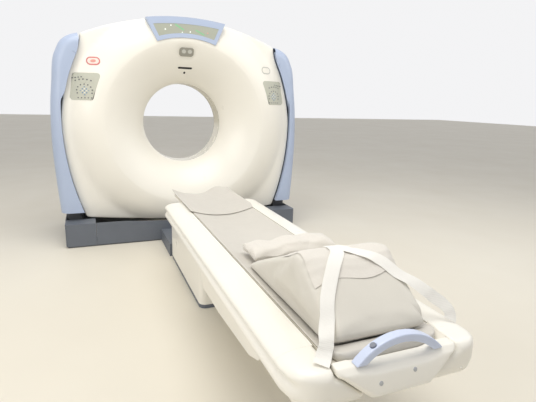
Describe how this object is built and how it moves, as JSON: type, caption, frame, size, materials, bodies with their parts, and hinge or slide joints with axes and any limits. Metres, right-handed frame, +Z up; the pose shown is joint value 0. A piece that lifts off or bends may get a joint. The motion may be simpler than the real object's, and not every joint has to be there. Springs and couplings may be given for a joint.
{
  "type": "ct scanner",
  "caption": "Medical computed tomography scanner with a tilting ring gantry, a spinning rotor inside, and a lifting patient table with a sliding cradle and cushions.",
  "frame": {"origin": "on the floor, at the centre of the whole footprint of gantry and table", "axes": "+X to the right seen from the table's foot end, +Y from the foot end of the table into the bore, +Z up"},
  "size_m": [2.1752, 3.69, 1.8885],
  "materials": {
    "cover_white": "warm white moulded cover, satin gloss",
    "cover_lavender": "pale lavender-blue moulded cover, satin gloss",
    "handle_blue": "pale blue moulded grip, satin",
    "base_paint": "mid-grey textured paint",
    "frame_paint": "grey machine paint",
    "bearing_steel": "ground steel",
    "machined_aluminium": "machined",
    "tube_paint": "light grey paint",
    "generator_paint": "dark grey paint",
    "detector_dark": "dark anodised housing",
    "ring_brass": "contact tracks, worn bright",
    "belt_rubber": "black ribbed belt",
    "motor_paint": "black paint",
    "dark_plastic": "dark, matte",
    "panel_grey": "grey-beige keypad film",
    "light_grey": "grey lens housing",
    "window_grey": "smoked display window",
    "stop_red": "red ring",
    "stop_pink": "pale red key",
    "stop_pale": "pale key",
    "liner_white": "clear-coated liner",
    "guide_plastic": "low-friction strip",
    "cradle_composite": "gel-coated carbon board",
    "button_grey": "grey key",
    "cushion_vinyl": "light warm grey vinyl upholstery",
    "sheet_fabric": "pale woven cover",
    "strap_fabric": "white webbing"
  },
  "bodies": {
    "gantry_base": {"base_frame": "frame_paint", "left_pylon": "frame_paint", "right_pylon": "frame_paint", "trunnion_bearings": "bearing_steel", "tilt_gearmotor": "motor_paint", "base_front_cover": "base_paint", "base_rear_cover": "base_paint", "base_left_cover": "base_paint", "base_right_cover": "base_paint", "left_side_cover": "cover_lavender", "right_side_cover": "cover_lavender", "dock_cover": "base_paint", "table_base_plate": "base_paint", "pedestal_cover": "cover_white", "lift_columns_outer": "bearing_steel"},
    "gantry": {"tilt_frame": "frame_paint", "main_bearing": "bearing_steel", "front_cover": "cover_white", "rear_cover": "cover_white", "display_bezel": "cover_lavender", "display_window": "window_grey", "left_control_panel": "panel_grey", "right_control_panel": "panel_grey", "throat_rings": "dark_plastic", "bore_liner": "liner_white", "breathing_light": "light_grey", "laser_windows": "dark_plastic", "estop_rings": "stop_red", "rotor_motor": "motor_paint", "drive_belt": "belt_rubber", "brush_block": "dark_plastic"},
    "left_stop_key": {"left_estop_button": "stop_pink"},
    "right_stop_key": {"right_estop_button": "stop_pale"},
    "drive_pulley": {"motor_pulley": "machined_aluminium"},
    "rotor": {"rotor_drum": "machined_aluminium", "x_ray_tube": "tube_paint", "collimator": "generator_paint", "detector_array": "detector_dark", "generator": "generator_paint", "slip_ring": "ring_brass"},
    "lift_mid": {"mid_cover": "cover_white", "lift_columns_mid": "bearing_steel"},
    "table_top": {"lift_skirt": "cover_white", "lift_columns_inner": "bearing_steel", "table_frame": "frame_paint", "cradle_guides": "guide_plastic", "left_rail_cover": "cover_white", "right_rail_cover": "cover_white", "left_foot_cover": "cover_white", "right_foot_cover": "cover_white", "belly_cover": "cover_white"},
    "cradle_slider": {"cradle": "cradle_composite", "end_cap": "cover_white", "pull_handle": "handle_blue", "cradle_pad": "cushion_vinyl", "head_mat": "cushion_vinyl", "knee_wedge": "cushion_vinyl", "pillow": "sheet_fabric", "straps": "strap_fabric"},
    "grip_key": {"handle_button": "button_grey"}
  },
  "joints": [
    {"name": "gantry_tilt", "type": "hinge", "parent": "gantry_base", "child": "gantry", "pos_m": [0, 1.445, 1.015], "axis": [1, 0, 0], "range_deg": [-30, 30]},
    {"name": "rotor_spin", "type": "hinge", "parent": "gantry", "child": "rotor", "pos_m": [0, 1.445, 1.015], "axis": [0, 1, 0], "continuous": true},
    {"name": "motor_pulley_spin", "type": "hinge", "parent": "gantry", "child": "drive_pulley", "pos_m": [0.69, 1.52, 0.375], "axis": [0, 1, 0], "continuous": true},
    {"name": "left_stop_press", "type": "slide", "parent": "gantry", "child": "left_stop_key", "axis": [0, 1, 0], "range_m": [0, 0.004], "stiffness_N_per_m": 1500, "springref_m": -0.004},
    {"name": "right_stop_press", "type": "slide", "parent": "gantry", "child": "right_stop_key", "axis": [0, 1, 0], "range_m": [0, 0.004], "stiffness_N_per_m": 1500, "springref_m": -0.004},
    {"name": "table_lift", "type": "slide", "parent": "gantry_base", "child": "table_top", "axis": [0, 0, 1], "range_m": [0, 0.529]},
    {"name": "mid_stage_lift", "type": "slide", "parent": "gantry_base", "child": "lift_mid", "axis": [0, 0, 1], "range_m": [0, 0.2645]},
    {"name": "cradle_travel", "type": "slide", "parent": "table_top", "child": "cradle_slider", "axis": [0, 1, 0], "range_m": [0, 1.45475]},
    {"name": "grip_key_press", "type": "slide", "parent": "cradle_slider", "child": "grip_key", "axis": [0.4695, 0, -0.8829], "range_m": [0, 0.003], "stiffness_N_per_m": 600, "springref_m": -0.004}
  ],
  "couplings": [
    {"joint": "motor_pulley_spin", "follows": "rotor_spin", "ratio": 13.167},
    {"joint": "mid_stage_lift", "follows": "table_lift", "ratio": 0.5},
    {"joint": "cradle_travel", "follows": "table_lift", "ratio": 2.75}
  ]
}
